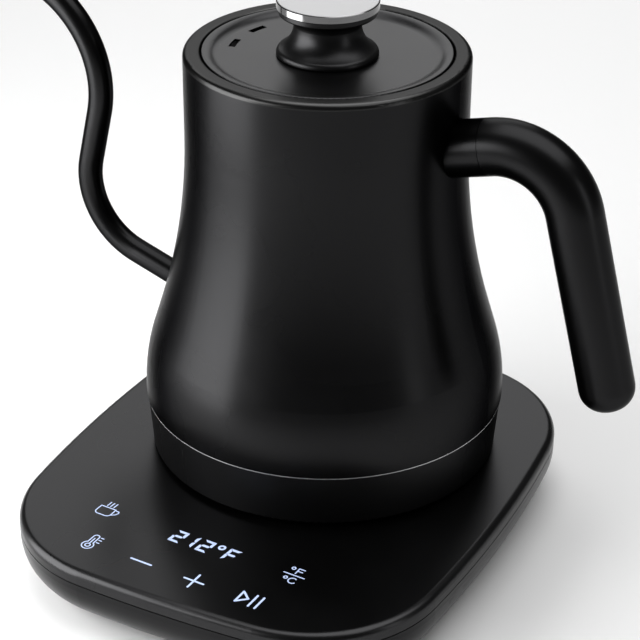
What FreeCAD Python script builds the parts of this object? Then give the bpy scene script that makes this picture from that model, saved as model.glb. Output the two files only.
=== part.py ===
import FreeCAD, Part
import math
import os
import re
import Sketcher

# Gooseneck kettle on its power base, in millimetres.
# The origin is on the kettle's swivel axis, level with the table. +Z is up, the handle points
# along +X, the spout along -X, and the touch panel faces -Y.

SIZES = {
    # Power base: a rounded rectangle with bowed sides, set forward of the swivel axis
    "base_half_x": 84.9,
    "base_half_y": 100.9,
    "base_forward": 23.3,
    "base_corner": 51.0,
    "base_bow": 545.0,
    "base_top": 26.0,
    "base_split": 20.3,
    "base_underside": 1.4,
    "base_wall": 2.2,
    "base_top_edge": 3.0,
    "base_low_edge": 16.5,
    "split_gap": 0.4,
    "split_depth": 1.1,
    "boss_root": 0.2,
    "post_root": 1.0,
    "pilot_deep": 1.0,
    "foot_inset": 18.5,
    "foot_width": 8.0,
    "foot_sink": 0.6,
    # Steel body: belly arc, straight flank, neck arc, straight neck and turned-in rim
    "belly_radius": 68.0,
    "belly_height": 51.2,
    "belly_arc": 74.0,
    "flank_lean": 17.2,
    "neck_radius": 51.1,
    "neck_arc": 238.0,
    "seam_height": 48.3,
    "rim_height": 184.2,
    "rim_round": 2.0,
    "steel_wall": 0.9,
    "mouth_radius": 44.9,
    "mouth_depth": 8.2,
    "ledge_width": 2.3,
    "flange_radius": 60.0,
    "weld_gap": 0.05,
    # Collar under the body
    "collar_low": 27.5,
    "collar_low_radius": 66.0,
    "collar_wall": 2.2,
    "collar_edge": 0.8,
    "seam_gap": 0.4,
    "skirt_play": 0.4,
    # Gooseneck spout, from its root inside the body to its tip
    "root_reach": 58.0,
    "root_height": 76.3,
    "root_rise": 19.5,
    "root_run": 25.9,
    "low_bend": 30.0,
    "stem_turn": 83.5,
    "stem_run": 21.3,
    "top_bend": 42.0,
    "tip_rise": 12.0,
    "tip_run": 9.0,
    "spout_radius": 4.75,
    "spout_wall": 0.8,
    # Handle: an arm that rises from the body, then a grip square to it
    "arm_reach": 62.6,
    "arm_height": 159.6,
    "arm_rise": 14.5,
    "arm_run": 1.3,
    "grip_bend": 26.0,
    "grip_run": 75.0,
    "grip_radius": 10.2,
    "grip_end_round": 8.5,
    "boss_depth": 24.0,
    "tang_radius": 4.0,
    "tang_sunk": 8.0,
    "tang_run": 11.0,
    "grub_radius": 1.5,
    "grub_sunk": 1.0,
    "grub_station": 6.0,
    # Heater between the body and the collar
    "plate_radius": 66.0,
    "plate_thick": 1.2,
    "spreader_radius": 53.0,
    "spreader_thick": 3.0,
    "element_radius": 42.0,
    "element_size": 7.0,
    "element_edge": 1.6,
    "element_sweep": 316.0,
    "pin_radius": 1.6,
    "pin_drop": 6.0,
    "pin_inset": 6.0,
    "cutout_radius": 6.5,
    "cutout_thick": 3.6,
    "cutout_reach": 15.0,
    "probe_radius": 2.5,
    "probe_reach": 24.0,
    "probe_tall": 9.0,
    "probe_flange": 5.0,
    "probe_seal": 0.8,
    "probe_stem": 3.5,
    "nut_tall": 2.3,
    "post_radius": 2.8,
    "post_reach": 56.7,
    # Round cordless connector, kettle half and base half
    "skirt_radius": 24.4,
    "socket_radius": 15.6,
    "socket_roof": 36.0,
    "socket_top": 41.0,
    "seat_height": 27.0,
    "socket_wall": 4.4,
    "lug_radius": 30.0,
    "lug_reach": 27.4,
    "lug_thick": 2.4,
    "tower_radius": 15.0,
    "tower_top": 35.5,
    "shoulder_radius": 22.0,
    "stem_radius": 18.0,
    "stem_low": 6.0,
    "clamp_radius": 27.0,
    "clamp_reach": 24.4,
    "clamp_thick": 3.0,
    "clamp_pilot": 1.8,
    "groove_low": 22.0,
    "bore_low": 10.0,
    "leaf_thick": 0.4,
    "leaf_wide": 1.4,
    "leaf_short": 2.0,
    "leaf_play": 0.2,
    "pin_contact": 2.5,
    "ring_inner": 9.3,
    "ring_outer": 10.7,
    "ring_low": 28.5,
    "ring_top": 39.0,
    "contact_play": 0.8,
    "turning_play": 0.05,
    # Lid and knob
    "lid_gap": 0.5,
    "lid_steel": 0.8,
    "lid_sink": 0.2,
    "lid_edge": 0.3,
    "lid_lip": 1.0,
    "lid_drop": 1.6,
    "dish_radius": 38.5,
    "gasket_tall": 2.0,
    "liner_radius": 41.8,
    "liner_deep": 5.0,
    "slot_radius": 34.5,
    "slot_width": 2.5,
    "slot_sweep": 12.5,
    "slot_turn": 13.3,
    "slot_middle": 177.5,
    "knob_foot": 18.2,
    "knob_foot_round": 0.7,
    "knob_shoulder": 2.2,
    "knob_shoulder_turn": 58.0,
    "knob_waist": 12.0,
    "knob_waist_height": 11.1,
    "knob_flare": 10.0,
    "knob_top_flare": 4.0,
    "knob_flange": 17.4,
    "knob_flange_tall": 2.2,
    "knob_tall": 17.3,
    "knob_bore": 2.0,
    "knob_screw_run": 17.5,
    "washer_radius": 5.0,
    "cap_radius": 18.15,
    "cap_thick": 3.1,
    "cap_chamfer": 0.4,
    "spigot_radius": 5.0,
    "spigot_deep": 6.0,
    # Electronics in the base
    "board_thick": 1.6,
    "panel_board_top": 21.2,
    "panel_board_x": -5.0,
    "panel_board_y": -96.5,
    "panel_board_long": 98.0,
    "panel_board_wide": 33.0,
    "panel_screw_inset": 3.0,
    "display_long": 34.0,
    "display_wide": 12.0,
    "display_tall": 2.4,
    "display_x": -3.0,
    "display_y": -88.0,
    "boil_key_x": -45.0,
    "boil_key_y": -86.0,
    "hold_key_x": -40.0,
    "hold_key_y": -104.0,
    "less_key_x": -18.0,
    "less_key_y": -107.0,
    "more_key_x": 4.0,
    "more_key_y": -108.0,
    "start_key_x": 26.0,
    "start_key_y": -109.0,
    "unit_key_x": 34.0,
    "unit_key_y": -89.0,
    "spring_radius": 3.0,
    "spring_bore": 2.2,
    "power_board_top": 10.6,
    "power_board_y": 50.0,
    "power_board_long": 96.0,
    "power_board_wide": 32.0,
    "power_screw_inset": 4.0,
    "relay_long": 18.0,
    "relay_wide": 15.0,
    "relay_tall": 12.0,
    "relay_x": -30.0,
    "transformer_long": 22.0,
    "transformer_wide": 20.0,
    "transformer_tall": 12.5,
    "transformer_x": 28.0,
    "terminal_long": 16.0,
    "terminal_wide": 9.0,
    "terminal_x": -9.0,
    "terminal_y": 59.0,
    "capacitor_radius": 5.0,
    "capacitor_tall": 12.0,
    "capacitor_x": 9.5,
    "capacitor_y": 58.0,
    "buzzer_radius": 5.5,
    "buzzer_tall": 7.0,
    "buzzer_x": -2.0,
    "buzzer_y": 42.0,
    "ribbon_wide": 12.0,
    "ribbon_thick": 0.8,
    "ribbon_x": -30.0,
    "ribbon_front": -81.0,
    "ribbon_back": 36.0,
    "grommet_height": 16.2,
    "grommet_radius": 2.9,
    "grommet_lip": 3.7,
    "grommet_edge": 1.6,
    "grommet_slack": 1.15,
    "cord_bore": 2.2,
    # Screws
    "thread_play": 0.1,
    "small_shank": 1.2,
    "small_head": 2.4,
    "small_head_tall": 1.4,
    "collar_screw_run": 12.0,
    "lug_screw_run": 4.0,
    "clamp_screw_run": 4.5,
    "panel_screw_run": 4.6,
    "power_screw_run": 6.6,
    "case_shank": 1.6,
    "case_head": 3.0,
    "case_head_tall": 2.0,
    "case_post": 4.0,
    "case_seat": 0.8,
    "case_screw_run": 17.9,
    "case_screw_x": 58.5,
    "case_screw_back": 38.0,
    "case_screw_front": -84.0,
}

doc = FreeCAD.newDocument("GooseneckKettle")
sheet = doc.addObject("Spreadsheet::Sheet", "Params")
for row, (alias, size) in enumerate(SIZES.items(), start=1):
    sheet.set(f"A{row}", alias)
    sheet.set(f"B{row}", str(size))
    sheet.setAlias(f"B{row}", alias)
doc.recompute()

nodes = []


# Expressions on the size sheet

def qualified(text):
    """Put the sheet's name before each size name; every size name holds an underscore."""
    return re.sub(r"\b([a-z]+(?:_[a-z]+)+)\b", r"Params.\1", text)


def number(text):
    """Present value of an expression, as a plain number."""
    result = sheet.evalExpression(qualified(text))
    return float(getattr(result, "Value", result))


def bind(item, prop, text):
    item.setExpression(prop, qualified(text))


def place(item, x, y, z):
    for axis, text in (("x", x), ("y", y), ("z", z)):
        bind(item, f"Placement.Base.{axis}", text)


# Sketches

def new_body(label):
    body = doc.addObject("PartDesign::Body", label)
    body.Label = label
    return body


def sketch_on(body, role, name, lift="0"):
    """Sketch on one of the body's own origin planes, raised along the plane's normal."""
    sketch = body.newObject("Sketcher::SketchObject", name)
    plane = next(item for item in body.Origin.OriginFeatures if item.Role == role)
    sketch.AttachmentSupport = (plane, [""])
    sketch.MapMode = "FlatFace"
    bind(sketch, "AttachmentOffset.Base.z", lift)
    return sketch


def pin(sketch, geometry, point, kind, text):
    """Fix a point's distance from the sketch origin, across (DistanceX) or along (DistanceY)."""
    distance = number(text)
    if abs(distance) < 1e-9:
        axis = -2 if kind == "DistanceX" else -1
        sketch.addConstraint(Sketcher.Constraint("PointOnObject", geometry, point, axis))
        return
    if distance > 0:
        index = sketch.addConstraint(Sketcher.Constraint(kind, -1, 1, geometry, point, distance))
        bind(sketch, f"Constraints[{index}]", text)
        return
    index = sketch.addConstraint(Sketcher.Constraint(kind, geometry, point, -1, 1, -distance))
    bind(sketch, f"Constraints[{index}]", f"-({text})")


def set_radius(sketch, geometry, text):
    index = sketch.addConstraint(Sketcher.Constraint("Radius", geometry, number(text)))
    bind(sketch, f"Constraints[{index}]", text)


def arc_between(start, end, radius):
    """Arc shorter than a half circle; a positive radius turns left, a negative one right."""
    chord = end - start
    across = FreeCAD.Vector(-chord.y, chord.x, 0).normalize()
    rise = math.sqrt(max(radius * radius - chord.Length ** 2 / 4, 0))
    centre = (start + end) * 0.5 + across * math.copysign(rise, radius)
    circle = Part.Circle(centre, FreeCAD.Vector(0, 0, 1), abs(radius))
    first, last = (start, end) if radius > 0 else (end, start)
    angles = [math.atan2(point.y - centre.y, point.x - centre.x) for point in (first, last)]
    return Part.ArcOfCircle(circle, angles[0], angles[1])


def draw(sketch, corners):
    """Closed outline through corners (across, along) or (across, along, arc radius to get there)."""
    points = [FreeCAD.Vector(number(corner[0]), number(corner[1]), 0) for corner in corners]
    ends = []
    for index, corner in enumerate(corners):
        start, end = points[index - 1], points[index]
        if len(corner) == 2:
            geometry = sketch.addGeometry(Part.LineSegment(start, end))
            ends.append((geometry, 1, 2))
            continue
        radius = number(corner[2])
        geometry = sketch.addGeometry(arc_between(start, end, radius))
        ends.append((geometry, 1, 2) if radius > 0 else (geometry, 2, 1))
        set_radius(sketch, geometry, corner[2].lstrip("-"))
    for index, (geometry, start, end) in enumerate(ends):
        previous = ends[index - 1]
        joined = Sketcher.Constraint("Coincident", previous[0], previous[2], geometry, start)
        sketch.addConstraint(joined)
        pin(sketch, geometry, end, "DistanceX", corners[index][0])
        pin(sketch, geometry, end, "DistanceY", corners[index][1])


def draw_circle(sketch, across, along, radius):
    centre = FreeCAD.Vector(number(across), number(along), 0)
    geometry = sketch.addGeometry(Part.Circle(centre, FreeCAD.Vector(0, 0, 1), number(radius)))
    pin(sketch, geometry, 3, "DistanceX", across)
    pin(sketch, geometry, 3, "DistanceY", along)
    set_radius(sketch, geometry, radius)


def draw_base_outline(sketch, inset):
    """The base's outline, drawn in by inset: bowed sides and round corners, eight tangent arcs."""
    bind(sketch, "AttachmentOffset.Base.y", "-base_forward")
    half_x, half_y = f"base_half_x - ({inset})", f"base_half_y - ({inset})"
    bow, corner = f"base_bow - ({inset})", f"base_corner - ({inset})"
    side_x = number(half_x) - number(bow)
    side_y = number(half_y) - number(bow)
    reach = number(bow) - number(corner)
    apart = math.hypot(side_x, side_y)
    along = math.sqrt(reach ** 2 - (apart / 2) ** 2)
    corner_x = side_x / 2 - along * side_y / apart
    corner_y = side_y / 2 - along * side_x / apart
    turn_x = math.atan2(corner_y, corner_x - side_x)
    turn_y = math.atan2(corner_y - side_y, corner_x)
    up = FreeCAD.Vector(0, 0, 1)
    start = sketch.GeometryCount
    sides = [(side_x, 0, -turn_x, turn_x), (0, side_y, turn_y, math.pi - turn_y)]
    corners = [
        (corner_x, corner_y, turn_x, turn_y),
        (-corner_x, corner_y, math.pi - turn_y, math.pi - turn_x),
    ]
    for half_turn in (0, math.pi):
        sign = math.cos(half_turn)
        for (x, y, first, last), size in zip(
            (sides[0], corners[0], sides[1], corners[1]), (bow, corner, bow, corner)
        ):
            circle = Part.Circle(FreeCAD.Vector(sign * x, sign * y, 0), up, number(size))
            sketch.addGeometry(Part.ArcOfCircle(circle, first + half_turn, last + half_turn))
    count = 8
    for index in range(count):
        after = start + (index + 1) % count
        sketch.addConstraint(Sketcher.Constraint("Tangent", start + index, 2, after, 1))
        set_radius(sketch, start + index, corner if index % 2 else bow)
    for index, sign in ((start, ""), (start + 4, "-")):
        sketch.addConstraint(Sketcher.Constraint("PointOnObject", index, 3, -1))
        pin(sketch, index, 3, "DistanceX", f"{sign}(({half_x}) - ({bow}))")
    for index, sign in ((start + 2, ""), (start + 6, "-")):
        sketch.addConstraint(Sketcher.Constraint("PointOnObject", index, 3, -2))
        pin(sketch, index, 3, "DistanceY", f"{sign}(({half_y}) - ({bow}))")


def draw_route(sketch, steps, first_heading):
    """Open path from the sketch origin: (run) lines joined by tangent (radius, turn) arcs."""
    spot, heading = FreeCAD.Vector(0, 0, 0), math.radians(first_heading)
    turned_text = str(first_heading)
    before = None
    for step in steps:
        if len(step) == 1:
            run = number(step[0])
            ahead = FreeCAD.Vector(math.cos(heading), math.sin(heading), 0) * run
            geometry = sketch.addGeometry(Part.LineSegment(spot, spot + ahead))
            index = sketch.addConstraint(Sketcher.Constraint("Distance", geometry, run))
            bind(sketch, f"Constraints[{index}]", step[0])
            if before is None:
                sketch.addConstraint(Sketcher.Constraint("Coincident", geometry, 1, -1, 1))
                sketch.addConstraint(Sketcher.Constraint("Horizontal", geometry))
            else:
                index = sketch.addConstraint(Sketcher.Constraint("Angle", geometry, heading))
                bind(sketch, f"Constraints[{index}]", f"({turned_text}) * 1 deg")
            start, end = 1, 2
            spot = spot + ahead
        else:
            radius, turn = number(step[0]), math.radians(number(step[1]))
            side = math.copysign(1, turn)
            centre = spot + FreeCAD.Vector(-math.sin(heading), math.cos(heading), 0) * side * radius
            angle = heading - side * math.pi / 2
            first, last = (angle, angle + turn) if turn > 0 else (angle + turn, angle)
            circle = Part.Circle(centre, FreeCAD.Vector(0, 0, 1), radius)
            geometry = sketch.addGeometry(Part.ArcOfCircle(circle, first, last))
            set_radius(sketch, geometry, step[0])
            start, end = (1, 2) if turn > 0 else (2, 1)
            heading += turn
            turned_text += f" + ({step[1]})"
            reach = angle + turn
            spot = centre + FreeCAD.Vector(math.cos(reach), math.sin(reach), 0) * radius
        if before is not None:
            sketch.addConstraint(Sketcher.Constraint("Tangent", before[0], before[1], geometry, start))
        before = (geometry, end)


# Solids

def turned(label, corners, sweep="360"):
    """Solid turned about the Z axis from an outline of (radius, height) corners."""
    body = new_body(label)
    sketch = sketch_on(body, "XZ_Plane", f"{label}_outline")
    draw(sketch, corners)
    turn = body.newObject("PartDesign::Revolution", f"{label}_turn")
    turn.Profile = sketch
    turn.ReferenceAxis = (sketch, ["V_Axis"])
    bind(turn, "Angle", sweep)
    return body


def swept(label, steps, radius, first_heading):
    """Round bar along a route that leaves the body's origin along its X axis."""
    body = new_body(label)
    route = sketch_on(body, "XZ_Plane", f"{label}_route")
    draw_route(route, steps, first_heading)
    section = sketch_on(body, "YZ_Plane", f"{label}_section")
    draw_circle(section, "0", "0", radius)
    pipe = body.newObject("PartDesign::AdditivePipe", f"{label}_pipe")
    pipe.Profile = section
    pipe.Spine = (route, [])
    return body


def raised(body, name, low, high, shape):
    """Pad from low to high of the outline that shape draws on a sketch."""
    sketch = sketch_on(body, "XY_Plane", f"{name}_outline", low)
    shape(sketch)
    pad = body.newObject("PartDesign::Pad", name)
    pad.Profile = sketch
    bind(pad, "Length", f"({high}) - ({low})")
    return pad


def sunk(body, name, low, high, shape, count=1):
    """Pocket from high down to low, repeated count times round the Z axis."""
    sketch = sketch_on(body, "XY_Plane", f"{name}_outline", high)
    shape(sketch)
    pocket = body.newObject("PartDesign::Pocket", name)
    pocket.Profile = sketch
    bind(pocket, "Length", f"({high}) - ({low})")
    if count > 1:
        ring = body.newObject("PartDesign::PolarPattern", f"{name}_ring")
        ring.Originals = [pocket]
        ring.Axis = (sketch, ["N_Axis"])
        ring.Angle = 360
        ring.Occurrences = count
        body.Tip = ring
    return pocket


def rounded(body, name, feature, radius, wanted):
    """Fillet on the edges of a feature that the test wanted picks."""
    doc.recompute()
    picked = [f"Edge{index}" for index, edge in enumerate(feature.Shape.Edges, start=1) if wanted(edge)]
    fillet = body.newObject("PartDesign::Fillet", name)
    fillet.Base = (feature, picked)
    bind(fillet, "Radius", radius)
    return fillet


def lies_at(height):
    """Test for edges that lie wholly in one level plane."""
    def wanted(edge):
        box = edge.BoundBox
        return abs(box.ZMin - number(height)) < 1e-3 and abs(box.ZMax - number(height)) < 1e-3
    return wanted


def circles(spots, radius):
    def shape(sketch):
        for across, along in spots:
            draw_circle(sketch, across, along, radius)
    return shape


def base_outline(*insets):
    """The base's outline at each inset: one makes a plate, two a ring."""
    def shape(sketch):
        for inset in insets:
            draw_base_outline(sketch, inset)
    return shape


def rod(name, radius, tall, x, y, z):
    solid = doc.addObject("Part::Cylinder", name)
    bind(solid, "Radius", radius)
    bind(solid, "Height", tall)
    place(solid, x, y, z)
    return solid


def block(name, long, wide, tall, x, y, z):
    """Box centred on x and y, standing on z."""
    solid = doc.addObject("Part::Box", name)
    bind(solid, "Length", long)
    bind(solid, "Width", wide)
    bind(solid, "Height", tall)
    place(solid, f"({x}) - ({long}) / 2", f"({y}) - ({wide}) / 2", z)
    return solid


def cut(name, base, tool):
    result = doc.addObject("Part::Cut", name)
    result.Base = base
    result.Tool = tool
    return result


def fuse(name, members):
    result = doc.addObject("Part::MultiFuse", name)
    result.Shapes = members
    return result


def group(label, members):
    result = doc.addObject("Part::Compound", label)
    result.Links = members
    return result


def around(reach, count, start):
    """Spots evenly spaced on a circle about the Z axis, the first at the angle start."""
    angles = [start + index * 360 / count for index in range(count)]
    return [(f"{reach} * cos({angle})", f"{reach} * sin({angle})") for angle in angles]


def screws(label, spots, seat, size, run, points_up):
    """Screws of one size with their heads against the plane seat, as separate solids."""
    members = []
    for index, (x, y) in enumerate(spots, start=1):
        head_low = f"({seat}) - {size}_head_tall" if points_up else seat
        shank_low = seat if points_up else f"({seat}) - ({run})"
        head = rod(f"{label}_{index}_head", f"{size}_head", f"{size}_head_tall", x, y, head_low)
        shank = rod(f"{label}_{index}_shank", f"{size}_shank", run, x, y, shank_low)
        members.append(fuse(f"{label}_{index}", [head, shank]))
    return group(label, members)


def tubes(label, spots, outer, inner, low, high):
    """Plain spacer tubes, as separate solids."""
    members = []
    tall = f"({high}) - ({low})"
    for index, (x, y) in enumerate(spots, start=1):
        skin = rod(f"{label}_{index}_skin", outer, tall, x, y, low)
        hole = rod(f"{label}_{index}_hole", inner, tall, x, y, low)
        members.append(cut(f"{label}_{index}", skin, hole))
    return group(label, members)


def keep(item, label):
    """Name the finished sub-part and list it for the hand-over."""
    item.Label = label
    nodes.append((label, item))
    return item


# Steel body: outer side, and the same side drawn in by a depth

NECK_START = (
    "(belly_height + (belly_arc + neck_arc) * sin(flank_lean)"
    " + (belly_radius - neck_radius - (belly_arc + neck_arc) * (1 - cos(flank_lean))) / tan(flank_lean))"
)
LEDGE = "(rim_height - mouth_depth)"
FLOOR = "(seam_height + steel_wall)"


def belly_at(height, depth="0"):
    return f"belly_radius - belly_arc + sqrt((belly_arc - ({depth}))^2 - ({height} - belly_height)^2)"


def flank_low(depth):
    arc = f"(belly_arc - ({depth}))"
    return (
        f"belly_radius - belly_arc + {arc} * cos(flank_lean)",
        f"belly_height + {arc} * sin(flank_lean)",
    )


def flank_high(depth):
    arc = f"(neck_arc + ({depth}))"
    return (
        f"neck_radius + neck_arc - {arc} * cos(flank_lean)",
        f"{NECK_START} - {arc} * sin(flank_lean)",
    )


def body_envelope():
    """Solid that fills the body's outside, a weld gap larger: what is welded on is trimmed by it."""
    grown = "-weld_gap"
    return turned("body_envelope", [
        ("0", "seam_height"),
        (belly_at("seam_height", grown), "seam_height"),
        (*flank_low(grown), "belly_arc + weld_gap"),
        flank_high(grown),
        ("neck_radius + weld_gap", NECK_START, "-(neck_arc - weld_gap)"),
        ("neck_radius + weld_gap", "rim_height"),
        ("0", "rim_height"),
    ])


def body_shell(spout_core):
    shell = turned("body_drawn", [
        (belly_at("seam_height"), "seam_height"),
        (*flank_low("0"), "belly_arc"),
        flank_high("0"),
        ("neck_radius", NECK_START, "-neck_arc"),
        ("neck_radius", "rim_height - rim_round"),
        ("neck_radius - rim_round", "rim_height", "rim_round"),
        ("mouth_radius + steel_wall", "rim_height"),
        ("mouth_radius", "rim_height - steel_wall", "steel_wall"),
        ("mouth_radius", LEDGE),
        ("mouth_radius - ledge_width", LEDGE),
        ("mouth_radius - ledge_width", f"{LEDGE} - steel_wall"),
        ("mouth_radius + steel_wall", f"{LEDGE} - steel_wall"),
        ("mouth_radius + steel_wall", "rim_height - steel_wall"),
        ("neck_radius - rim_round", "rim_height - steel_wall"),
        ("neck_radius - steel_wall", "rim_height - rim_round", "-(rim_round - steel_wall)"),
        ("neck_radius - steel_wall", NECK_START),
        (*flank_high("steel_wall"), "neck_arc + steel_wall"),
        flank_low("steel_wall"),
        (belly_at(FLOOR, "steel_wall"), FLOOR, "-(belly_arc - steel_wall)"),
        ("flange_radius", FLOOR),
        ("flange_radius", "seam_height"),
    ])
    keep(cut("body_shell_pierced", shell, spout_core), "body_shell")


# Gooseneck spout

def spout_bar(label, radius):
    bar = swept(label, [
        ("root_run",),
        ("low_bend", "-stem_turn"),
        ("stem_run",),
        ("top_bend", "root_rise + stem_turn - tip_rise"),
        ("tip_run",),
    ], radius, 180)
    bar.Placement = FreeCAD.Placement(FreeCAD.Vector(), FreeCAD.Rotation(FreeCAD.Vector(0, 1, 0), 1))
    bind(bar, "Placement.Rotation.Angle", "root_rise")
    place(bar, "-root_reach", "0", "root_height")
    return bar


def spout(envelope):
    """Hollow tube welded to the body; returns the bore, which also pierces the body."""
    core = spout_bar("spout_core", "spout_radius - spout_wall")
    outside = cut("spout_outside", spout_bar("spout_bar", "spout_radius"), envelope)
    keep(cut("spout_hollow", outside, core), "spout_tube")
    return core


# Handle, laid out along its arm: station is the distance from the seam between boss and grip

def on_arm(item, station, lift, axis, angle):
    item.Placement = FreeCAD.Placement(FreeCAD.Vector(), FreeCAD.Rotation(FreeCAD.Vector(*axis), 1))
    bind(item, "Placement.Rotation.Angle", angle)
    x = f"arm_reach + ({station}) * cos(arm_rise) - ({lift}) * sin(arm_rise)"
    z = f"arm_height + ({station}) * sin(arm_rise) + ({lift}) * cos(arm_rise)"
    place(item, x, "0", z)


def handle(envelope):
    along, across = ((0, 1, 0), "90 - arm_rise"), ((0, -1, 0), "arm_rise")
    stub = turned("boss_turn", [
        ("0", "-boss_depth"),
        ("grip_radius", "-boss_depth"),
        ("grip_radius", "-seam_gap / 2"),
        ("tang_radius + thread_play", "-seam_gap / 2"),
        ("tang_radius + thread_play", "-tang_sunk - thread_play"),
        ("0", "-tang_sunk - thread_play"),
    ])
    on_arm(stub, "0", "0", *along)
    keep(cut("boss_trimmed", stub, envelope), "handle_boss")

    tang = rod("handle_tang", "tang_radius", "tang_sunk + tang_run", "0", "0", "0")
    on_arm(tang, "-tang_sunk", "0", *along)
    keep(tang, "handle_tang")

    grip = swept("handle_grip", [("arm_run",), ("grip_bend", "-90"), ("grip_run",)], "grip_radius", 0)
    pipe = grip.Tip
    rounded(grip, "grip_end", pipe, "grip_end_round", lies_at("-grip_bend - grip_run"))
    mouth = sketch_on(grip, "YZ_Plane", "grip_socket_outline")
    draw_circle(mouth, "0", "0", "tang_radius + thread_play")
    socket = grip.newObject("PartDesign::Pocket", "grip_socket")
    socket.Profile = mouth
    socket.Reversed = True
    bind(socket, "Length", "tang_run + seam_gap")
    sunk(grip, "grub_hole", "-grip_radius - grub_sunk", "0",
         circles([("grub_station", "0")], "grub_radius + thread_play"))
    on_arm(grip, "0", "0", *across)
    keep(grip, "handle_grip")

    grub = rod("handle_set_screw", "grub_radius", "grip_radius - tang_radius - grub_sunk", "0", "0", "0")
    on_arm(grub, "grub_station", "-grip_radius + grub_sunk", *across)
    keep(grub, "handle_set_screw")


# Heater

SPREADER_LOW = f"({FLOOR} - spreader_thick)"
ELEMENT_LOW = f"({FLOOR} - spreader_thick - element_size)"
PLATE_TOP = f"({FLOOR} + plate_thick)"
COLLAR_FLOOR = "(collar_low + collar_wall)"
POSTS = around("post_reach", 3, 30)
LUGS = around("lug_reach", 3, 0)
PROBE = [("0", "-probe_reach")]
PROBE_HOLE = "probe_radius + thread_play"
THREAD_HOLE = "small_shank + thread_play"


def disc(label, radius, low, high):
    return turned(label, [("0", low), (radius, low), (radius, high), ("0", high)])


def heater():
    plate = disc("heating_plate", "plate_radius", FLOOR, PLATE_TOP)
    sunk(plate, "plate_probe_hole", FLOOR, PLATE_TOP, circles(PROBE, PROBE_HOLE))
    keep(plate, "heating_plate")

    spreader = disc("heat_spreader", "spreader_radius", SPREADER_LOW, FLOOR)
    sunk(spreader, "spreader_probe_hole", SPREADER_LOW, FLOOR, circles(PROBE, PROBE_HOLE))
    keep(spreader, "heat_spreader")

    inner, outer = "element_radius - element_size / 2", "element_radius + element_size / 2"
    element = turned("heating_element", [
        (f"{inner} + element_edge", ELEMENT_LOW, "element_edge"),
        (f"{outer} - element_edge", ELEMENT_LOW),
        (outer, f"{ELEMENT_LOW} + element_edge", "element_edge"),
        (outer, f"{SPREADER_LOW} - element_edge"),
        (f"{outer} - element_edge", SPREADER_LOW, "element_edge"),
        (f"{inner} + element_edge", SPREADER_LOW),
        (inner, f"{SPREADER_LOW} - element_edge", "element_edge"),
        (inner, f"{ELEMENT_LOW} + element_edge"),
    ], "element_sweep")
    bind(element, "Placement.Rotation.Angle", "(360 - element_sweep) / 2")
    keep(element, "heating_element")

    pin_turn = "(180 - element_sweep / 2 + pin_inset)"
    pins = [
        rod(f"element_pin_{side}", "pin_radius", "pin_drop", f"element_radius * cos({pin_turn})",
            f"{sign}element_radius * sin({pin_turn})", f"{ELEMENT_LOW} - pin_drop")
        for side, sign in (("left", ""), ("right", "-"))
    ]
    keep(group("element_pin_pair", pins), "element_pins")

    cutouts = [
        rod(f"thermal_cutout_{side}", "cutout_radius", "cutout_thick", f"{sign}cutout_reach", "0",
            f"{SPREADER_LOW} - cutout_thick")
        for side, sign in (("left", "-"), ("right", ""))
    ]
    keep(group("thermal_cutout_pair", cutouts), "thermal_cutouts")

    seat = f"{PLATE_TOP} + probe_seal"
    tip = f"{PLATE_TOP} + probe_tall"
    probe = turned("ntc_probe", [
        ("0", f"{SPREADER_LOW} - probe_stem"),
        ("probe_radius", f"{SPREADER_LOW} - probe_stem"),
        ("probe_radius", seat),
        ("probe_flange", seat),
        ("probe_flange", f"{seat} + probe_seal"),
        ("probe_radius", f"{seat} + probe_seal"),
        ("probe_radius", f"{tip} - probe_radius"),
        ("0", tip, "probe_radius"),
    ])
    bind(probe, "Placement.Base.y", "-probe_reach")
    keep(probe, "ntc_probe")
    seal = tubes("probe_seal_ring", PROBE, "probe_flange", PROBE_HOLE, PLATE_TOP, seat)
    keep(seal, "ntc_gasket")
    nut = tubes("probe_nut", PROBE, "probe_flange", PROBE_HOLE, f"{SPREADER_LOW} - nut_tall", SPREADER_LOW)
    keep(nut, "ntc_nut")


def collar():
    brim = belly_at("seam_height")
    inner_top = "seam_height - seam_gap"
    body = turned("base_collar", [
        ("skirt_radius + skirt_play", "collar_low"),
        ("collar_low_radius - collar_edge", "collar_low"),
        ("collar_low_radius", "collar_low + collar_edge", "collar_edge"),
        (f"{brim} - seam_gap", f"{inner_top} - seam_gap"),
        (f"{brim} - seam_gap * 2", inner_top, "seam_gap"),
        (f"{brim} - collar_wall", inner_top),
        ("collar_low_radius - collar_wall", COLLAR_FLOOR),
        ("skirt_radius + skirt_play", COLLAR_FLOOR),
    ])
    sunk(body, "collar_screw_holes", "collar_low", COLLAR_FLOOR, circles(POSTS[:1], THREAD_HOLE), 3)
    sunk(body, "collar_head_holes", "collar_low", "collar_low + small_head_tall",
         circles(POSTS[:1], "small_head + thread_play"), 3)
    sunk(body, "collar_lug_holes", "collar_low + seam_gap", COLLAR_FLOOR, circles(LUGS[:1], THREAD_HOLE), 3)
    keep(body, "base_collar")
    posts = tubes("mounting_post_set", POSTS, "post_radius", THREAD_HOLE, COLLAR_FLOOR, FLOOR)
    keep(posts, "mounting_posts")
    head_seat = "collar_low + small_head_tall"
    keep(screws("collar_screw_set", POSTS, head_seat, "small", "collar_screw_run", True), "collar_screws")


# Cordless connector: the kettle half turns and lifts on the base half

CLAMPS = around("clamp_reach", 3, 90)
COVER_UNDER = "(base_top - base_wall)"
CLAMP_LOW = f"({COVER_UNDER} - clamp_thick)"


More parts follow.
